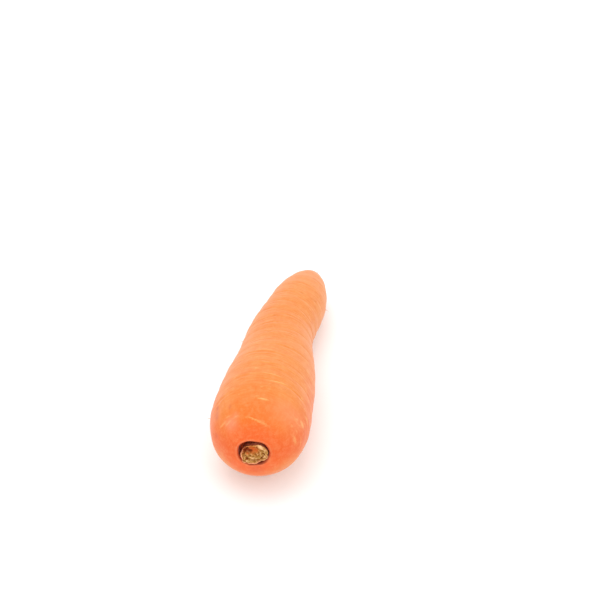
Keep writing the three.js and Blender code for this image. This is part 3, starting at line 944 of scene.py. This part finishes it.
def hair_mesh(name, hairs):
    """Tapered, bent hairs: each has a start, a direction, a droop, a length and a radius."""
    vertices, faces = [], []
    turns = np.arange(HAIR_SIDES) / HAIR_SIDES * TURN
    for start, direction, droop, length, radius in hairs:
        first = len(vertices)
        across = unit(np.cross(direction, HAIR_REFERENCE))
        third = np.cross(direction, across)
        for share in np.arange(HAIR_STEPS) / (HAIR_STEPS - 1):
            centre = start + direction * length * share + droop * length * share**2
            size = radius * (1 - HAIR_TAPER * share)
            for turn in turns:
                vertices.append(centre + size * (across * math.cos(turn) + third * math.sin(turn)))
        for step in range(HAIR_STEPS - 1):
            for j in range(HAIR_SIDES):
                a = first + step * HAIR_SIDES + j
                b = first + step * HAIR_SIDES + (j + 1) % HAIR_SIDES
                faces.append((a, b, b + HAIR_SIDES, a + HAIR_SIDES))
        faces.append(tuple(first + j for j in reversed(range(HAIR_SIDES))))
        end = first + (HAIR_STEPS - 1) * HAIR_SIDES
        faces.append(tuple(end + j for j in range(HAIR_SIDES)))
    return add_smooth_mesh(name, np.array(vertices), faces)


# ---- Materials ----

# The sockets of a colour mix: its factor and two colours, and its result.
MIX_INPUTS = (0, 6, 7)
MIX_RESULT = 2
NOISE_ROUGHNESS = 0.57
RAGGED_NOISE = 1.3
RAGGED_RISE = (0.75, 1.35)


def linear(red, green, blue):
    """A colour given as 0 to 255 on a screen, as the shader's linear values."""
    parts = [c / 255 for c in (red, green, blue)]
    return tuple(c / 12.92 if c <= 0.04045 else ((c + 0.055) / 1.055) ** 2.4 for c in parts) + (1.0,)


class Nodes:
    """Builds a material's nodes. An input is a plain value or another node's output."""

    def __init__(self, name):
        self.material = bpy.data.materials.new(name)
        self.material.use_nodes = True
        self.tree = self.material.node_tree
        self.shader = self.tree.nodes["Principled BSDF"]

    def feed(self, socket, value):
        if isinstance(value, bpy.types.NodeSocket):
            self.tree.links.new(value, socket)
        else:
            socket.default_value = value

    def shade(self, **inputs):
        """Sets the shader's inputs, named with underscores for spaces."""
        for name, value in inputs.items():
            self.feed(self.shader.inputs[name.replace("_", " ")], value)

    def add(self, kind, settings=None, **inputs):
        node = self.tree.nodes.new(kind)
        for name, value in (settings or {}).items():
            setattr(node, name, value)
        for name, value in inputs.items():
            self.feed(node.inputs[name], value)
        return node

    def attribute(self, name, output="Fac"):
        """A tint that the mesh carries, or with the output Vector its coordinates."""
        return self.add("ShaderNodeAttribute", {"attribute_name": name}).outputs[output]

    def mix(self, factor, *colours):
        """The first colour at a factor of 0 and the second at 1, plain ones as on a screen."""
        node = self.add("ShaderNodeMix", {"data_type": "RGBA"})
        shades = (linear(*c) if isinstance(c, tuple) else c for c in colours)
        for i, value in zip(MIX_INPUTS, (factor, *shades)):
            self.feed(node.inputs[i], value)
        return node.outputs[MIX_RESULT]

    def layered(self, colour, layers):
        """The colour under layers of others, each an amount and a colour."""
        for amount, tint in layers:
            colour = self.mix(amount, colour, tint)
        return colour

    def result(self, kind, values, **settings):
        """The first output of a node whose inputs take the values in order."""
        node = self.add(kind, settings)
        for socket, value in zip(node.inputs, values):
            self.feed(socket, value)
        return node.outputs[0]

    def times(self, value, factor):
        return self.result("ShaderNodeMath", (value, factor), operation="MULTIPLY")

    def between(self, value, low, high, to_low=0.0, to_high=1.0):
        """to_low at low and to_high at high, in proportion between them."""
        return self.result("ShaderNodeMapRange", (value, low, high, to_low, to_high))

    def noise(self, vector, scale, detail=3.0, distortion=0.0):
        """Noise in grown coordinates, scale giving its waves for each millimetre of each axis."""
        placed = self.add("ShaderNodeMapping", Vector=vector, Scale=scale).outputs[0]
        waves = dict(Scale=1.0, Detail=detail, Roughness=NOISE_ROUGHNESS, Distortion=distortion)
        return self.add("ShaderNodeTexNoise", Vector=placed, **waves).outputs[0]

    def ragged(self, amount, noise, most):
        """The amount with its soft edge broken up by noise."""
        values = (noise, RAGGED_NOISE, amount)
        broken = self.result("ShaderNodeMath", values, operation="MULTIPLY_ADD")
        return self.between(broken, *RAGGED_RISE, 0, most)

    def bump(self, height, strength, distance):
        """Fine relief, distance giving its height in metres."""
        node = self.add("ShaderNodeBump", Strength=strength, Distance=distance, Height=height)
        return node.outputs[0]


def skin_layers(nodes, grown, blotches, specks):
    """The colours over the skin's own: each one's amount, and the colour."""
    banded = nodes.attribute("banded")
    streaks = nodes.noise(grown, (1.1, 5.0, 1.1))
    mottles = nodes.noise(grown, (0.5, 0.35, 0.5), distortion=0.1)
    bands = nodes.noise(grown, (0.2, 1.3, 0.2), detail=4.0)
    fine_bands = nodes.noise(grown, (0.3, 2.6, 0.3))
    fibres = nodes.noise(grown, (1.5, 0.06, 1.5))
    tint, times, between = nodes.attribute, nodes.times, nodes.between
    return [
        (between(blotches, 0.45, 0.7, 0, 0.45), (230, 144, 82)),
        (times(tint("tail"), 0.6), (228, 146, 82)),
        (tint("crown"), (230, 108, 22)),
        (tint("cap"), (232, 94, 24)),
        # Painted shade on the flanks of the crown half.
        (times(tint("painted_flank_shade"), 0.85), (228, 90, 16)),
        (between(mottles, 0.45, 0.8, 0, 0.35), (233, 154, 96)),
        (between(mottles, 0.2, 0.5, 0.3, 0), (216, 98, 26)),
        (times(between(bands, 0.45, 0.75, 0, 0.4), banded), (233, 162, 92)),
        (times(between(bands, 0.2, 0.5, 0.4, 0), banded), (218, 112, 38)),
        (times(between(fine_bands, 0.5, 0.8, 0, 0.35), banded), (216, 112, 44)),
        (times(between(fine_bands, 0.2, 0.45, 0.35, 0), banded), (235, 172, 108)),
        (between(fibres, 0.5, 0.85, 0, 0.12), (235, 168, 108)),
        (between(specks, 0.62, 0.8, 0, 0.22), (209, 110, 48)),
        (nodes.ragged(tint("scar"), streaks, 0.7), (235, 182, 108)),
        # Pinker skin, and a painted sheen on the crown's right.
        (tint("pink_and_painted_sheen"), (244, 144, 116)),
        (times(tint("crease"), 0.7), (190, 106, 44)),
        # Bruises, with painted shade on the crown's left and below the stub.
        (times(tint("bruise_and_shade"), 0.7), (196, 78, 48)),
        # The lip's paler skin, with its painted highlight.
        (times(tint("lip"), 0.35), (231, 156, 112)),
    ]


def skin_material():
    """Carrot skin: mottled orange, redder on the crown, paler to the tail, with its marks."""
    nodes = Nodes("carrot_skin")
    grown = nodes.attribute("grown", "Vector")
    broad = nodes.noise(grown, (0.045, 0.028, 0.045), detail=2.0)
    blotches = nodes.noise(grown, (0.16, 0.11, 0.16), distortion=0.4)
    specks = nodes.noise(grown, (2.6, 3.2, 2.6), detail=2.0)
    pores = nodes.noise(grown, (1.6, 4.2, 1.6), detail=4.0)

    base = nodes.mix(nodes.between(broad, 0.35, 0.65), (224, 122, 34), (225, 130, 48))
    colour = nodes.layered(base, skin_layers(nodes, grown, blotches, specks))
    # Inside the recess the skin turns a darker red-brown.
    recess_red_brown = nodes.mix(nodes.between(specks, 0.4, 0.65), (206, 66, 16), (232, 104, 46))
    colour = nodes.mix(nodes.attribute("recess"), colour, recess_red_brown)
    # Painted shade under the stub, darkest on the rim's lower edge.
    colour = nodes.mix(nodes.attribute("shade_under_stub"), colour, (124, 44, 4))

    nodes.shade(
        Base_Color=colour,
        Roughness=nodes.between(blotches, 0.3, 0.7, 0.5, 0.62),
        Normal=nodes.bump(pores, strength=0.3, distance=0.0001),
        IOR=1.38,
        Sheen_Weight=0.4,
        Sheen_Roughness=0.4,
        Sheen_Tint=(1, 0.7, 0.6, 1),
    )
    return nodes.material


def stalk_material():
    """Dried leaf-stalk bases: granular brown and tan, with pale, rusty and dark places."""
    nodes = Nodes("dry_stalk")
    grown = nodes.attribute("grown", "Vector")
    grain = nodes.noise(grown, (2.4, 2.4, 1.2), detail=4.0)
    fine = nodes.noise(grown, (7.0, 7.0, 2.0), detail=2.0)
    tint, between = nodes.attribute, nodes.between
    layers = [
        (between(fine, 0.45, 0.7, 0, 0.5), (216, 166, 92)),
        (tint("rim"), (244, 164, 118)),
        (tint("pale"), (252, 202, 148)),
        (tint("rust"), (208, 90, 28)),
        (tint("flame"), (236, 120, 40)),
        (tint("dark"), (136, 50, 10)),
    ]
    base = nodes.mix(between(grain, 0.35, 0.65), (144, 98, 30), (196, 140, 60))
    wall = nodes.mix(between(grain, 0.4, 0.6), (132, 58, 34), (160, 88, 62))
    nodes.shade(
        Base_Color=nodes.mix(tint("wall"), nodes.layered(base, layers), wall),
        Roughness=0.8,
        Specular_IOR_Level=0.15,
        Normal=nodes.bump(fine, strength=0.4, distance=0.00012),
    )
    return nodes.material


def plain_material(name, **inputs):
    nodes = Nodes(name)
    nodes.shade(**inputs)
    return nodes.material


# ---- The pieces ----

# Distance from the crown, turn in degrees, and length.
ROOTLETS = [
    (20.6, -83, 1.9), (37, 118, 2), (52, -124, 2.4), (68, 64, 1.6),
    (81, -72, 2.2), (97, 121, 2.8), (112, -101, 2.6), (124, 87, 2.4),
    (138, -61, 2), (147, 33, 2.2),
]
ROOTLET_RADIUS = 0.1
ROOTLET_SINK = 0.3
FIBRES = 22
FIBRE_RADIUS = 0.07
FIBRE_SINK = 0.2
FIBRE_LENGTH = (0.5, 1)
# In rings below the stub's edge.
FIBRE_RINGS = (3, 12)


def finish_piece(piece, material, replaced=None):
    """Gives a piece its material, slot and body, and hides the solid that it stands for."""
    piece.data.materials.append(material)
    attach(piece, "root")
    if replaced:
        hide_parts(replaced)


def rootlets(skin, points):
    """Hairs on the skin, one for each place in the list."""
    hairs = []
    for n, (at, degrees, length) in enumerate(ROOTLETS):
        turn = math.radians(degrees)
        ring = int(np.argmin(np.where(skin.outside, np.abs(skin.ring_at - at), LENGTH)))
        column = round(turn / TURN * ROOT_COLUMNS) % ROOT_COLUMNS
        _, forward, side, up = axis_frame(at)
        outwards = side * math.sin(turn) + up * math.cos(turn)
        droop = 0.6 * np.sin(n * 1.7) * forward - (0, 0, 0.35)
        start = points[ring, column] - ROOTLET_SINK * outwards
        hairs.append((start, unit(outwards + 0.25 * forward), droop, length, ROOTLET_RADIUS))
    return hairs


def make_root(rng, material):
    """The taproot, with its rootlets. Returns how far it was moved to meet its solid."""
    skin = Skin(root_outline(), ROOT_COLUMNS)
    add_form(skin)
    add_growth(skin, rng)
    add_known_marks(skin, rng)
    add_crown(skin, rng)
    points, raise_by = skin.bend()
    low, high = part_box("taproot")
    middle = (points[..., 0].min() + points[..., 0].max()) / 2
    shift = np.array([(low.x + high.x) / 2 / MM - middle, high.y / MM - points[..., 1].max(), 0])
    points = points + shift

    piece = closed_grid("taproot_skin", points, skin.tints, skin.grown)
    # The root's turns run the other way from the stub's, so its faces are turned to look outwards.
    piece.data.flip_normals()
    finish_piece(piece, material, "taproot")
    finish_piece(hair_mesh("rootlets", rootlets(skin, points)), material)
    return shift + (0, 0, raise_by)


def fibres(points, placed):
    """Hairs that fray out of the stub's sides, just below its edge."""
    hairs = []
    for n in range(FIBRES):
        column = int(scatter(n + 1, FIRST_STRIDE) * STUB_COLUMNS)
        ring = STUB_FACE_RINGS - 1 + round(scatter(n + 1, SECOND_STRIDE, FIBRE_RINGS))
        edge = points[ring, column]
        start = placed(edge)
        outwards = unit(np.array([edge[0], edge[1], 0.0]))
        lean = 0.5 * outwards + np.array([0.3 * math.sin(3.1 * n), 0.3 * math.cos(5.3 * n), 1.0])
        direction = unit(placed(edge + lean) - start)
        droop = (placed(edge + outwards) - start) * 0.35 * math.sin(2.2 * n)
        length = scatter(n + 1, THIRD_STRIDE, FIBRE_LENGTH)
        hairs.append((start - FIBRE_SINK * direction, direction, droop, length, FIBRE_RADIUS))
    return hairs


def make_stub(rng, material, straw, moved):
    """The leaf-stalk bases in the crown's recess, and the frayed fibres round their edge."""
    points, tints = stub_rings(rng)
    centre, forward, side, up = axis_frame(RIM_AT + RECESS_DEPTH - STUB_CLEARANCE)
    seat = centre + side * STUB_OFFSET[0] + up * STUB_OFFSET[1] + moved

    def placed(local):
        """Points in the stub's own frame, as places in the scene."""
        return seat + local[..., :1] * side + local[..., 1:2] * up - local[..., 2:] * forward

    piece = closed_grid("stub_bases", placed(points), tints, points)
    finish_piece(piece, material, "leaf_stub")
    finish_piece(hair_mesh("stub_fibres", fibres(points, placed)), straw)


moved = make_root(np.random.default_rng(ROOT_SEED), skin_material())
straw = plain_material("straw", Base_Color=linear(188, 138, 84), Roughness=0.85)
make_stub(np.random.default_rng(STUB_SEED), stalk_material(), straw, moved)

# ---- Camera, light and floor ----

CAMERA_AZIMUTH = math.radians(9.54)
CAMERA_ELEVATION = math.radians(36.2)
CAMERA_DISTANCE = 700
CAMERA_LENS = 83.84
SENSOR_WIDTH = 36
AIM = (1.5, 43.38, 20)
# Softboxes: place and width in metres, and power in watts.
SOFTBOXES = {
    "overhead": ((-0.10, 0.05, 0.80), 0.7, 2.2),
    "right": ((0.65, -0.30, 0.50), 0.6, 0.5),
    "front": ((-0.10, -0.75, 0.40), 0.7, 0.4),
}
# Half of the table's width, in metres.
TABLE_REACH = 3.0
WORLD_STRENGTH = 1.0


def add_facing(name, data, place, back):
    """An object at a place, looking away from back."""
    item = add_object(name, data)
    item.location = place
    item.rotation_mode = "QUATERNION"
    item.rotation_quaternion = back.to_track_quat("Z", "Y")
    return item


def add_camera():
    """The photo's own view."""
    back = Vector((
        math.sin(CAMERA_AZIMUTH) * math.cos(CAMERA_ELEVATION),
        -math.cos(CAMERA_AZIMUTH) * math.cos(CAMERA_ELEVATION),
        math.sin(CAMERA_ELEVATION),
    ))
    data = bpy.data.cameras.new("camera")
    data.lens = CAMERA_LENS
    data.sensor_width = SENSOR_WIDTH
    place = (Vector(AIM) + back * CAMERA_DISTANCE) * MM
    bpy.context.scene.camera = add_facing("camera", data, place, back)


def add_softbox(name, place, width, power):
    """A round softbox that faces the scene's origin."""
    data = bpy.data.lights.new(name, "AREA")
    data.shape = "DISK"
    data.size = width
    data.energy = power
    add_facing(name, data, place, Vector(place))


def add_floor():
    """A white table under the root, lit a little from below."""
    mesh = bpy.data.meshes.new("floor")
    corners = [(x * TABLE_REACH, y * TABLE_REACH, 0) for x, y in ((-1, -1), (1, -1), (1, 1), (-1, 1))]
    mesh.from_pydata(corners, [], [(0, 1, 2, 3)])
    mesh.materials.append(plain_material(
        "white_table",
        Base_Color=(0.8, 0.8, 0.8, 1),
        Roughness=0.9,
        Specular_IOR_Level=0.1,
        Emission_Color=(1, 1, 1, 1),
        Emission_Strength=0.2,
    ))
    add_object("floor", mesh)


def add_world():
    world = bpy.data.worlds.new("studio")
    world.use_nodes = True
    background = world.node_tree.nodes["Background"]
    background.inputs["Color"].default_value = (1, 1, 1, 1)
    background.inputs["Strength"].default_value = WORLD_STRENGTH
    bpy.context.scene.world = world


add_camera()
add_floor()
add_world()
for box_name, (place, width, power) in SOFTBOXES.items():
    add_softbox(box_name, place, width, power)
bpy.context.scene.view_settings.view_transform = "Standard"
